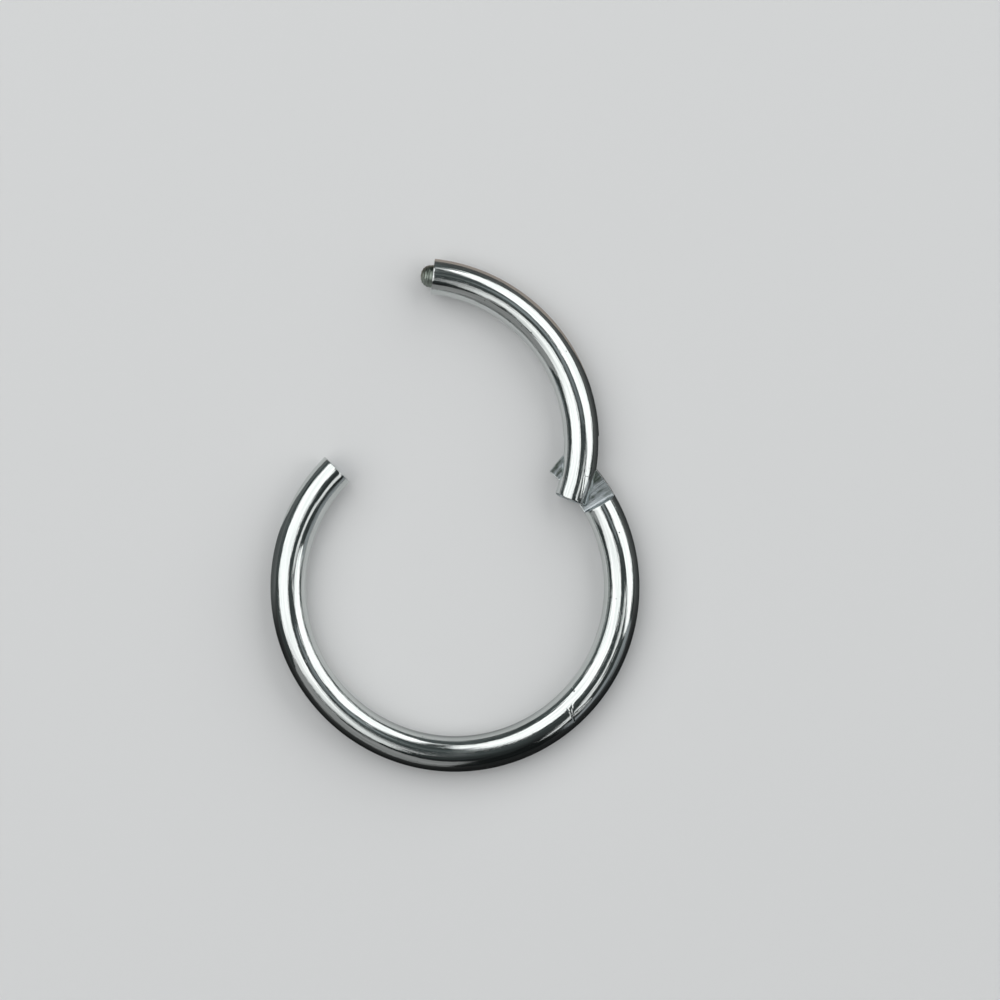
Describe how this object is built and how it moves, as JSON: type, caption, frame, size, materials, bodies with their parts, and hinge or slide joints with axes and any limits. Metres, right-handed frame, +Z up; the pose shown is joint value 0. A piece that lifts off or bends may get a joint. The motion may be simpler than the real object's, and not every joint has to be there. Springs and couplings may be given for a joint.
{
  "type": "nose ring",
  "caption": "Hinged segment nose ring of polished round steel wire, shown swung open: C-shaped ring, curved segment arm on a flush hinge pin, and a domed nub that clicks into the free end.",
  "frame": {"origin": "under the middle of the object's box, on the surface that it lies on, with the arm open as at rest", "axes": "+Z up along the ring's axis and the hinge pin, through the wire's thickness; +Y from the ring's lowest point towards the open arm; +X towards the hinge"},
  "size_m": [0.0124, 0.0172, 0.0012],
  "materials": {
    "polished_steel": "polished",
    "ground_steel": "satin"
  },
  "bodies": {
    "ring": {"ring_body": "polished_steel"},
    "arm": {"segment_arm": "polished_steel", "hinge_pin": "ground_steel"}
  },
  "joints": [
    {"name": "arm_hinge", "type": "hinge", "parent": "ring", "child": "arm", "pos_m": [0.00444, 0.00144, 0.0006], "axis": [0, 0, 1], "range_deg": [-49.1, 50.9]}
  ]
}
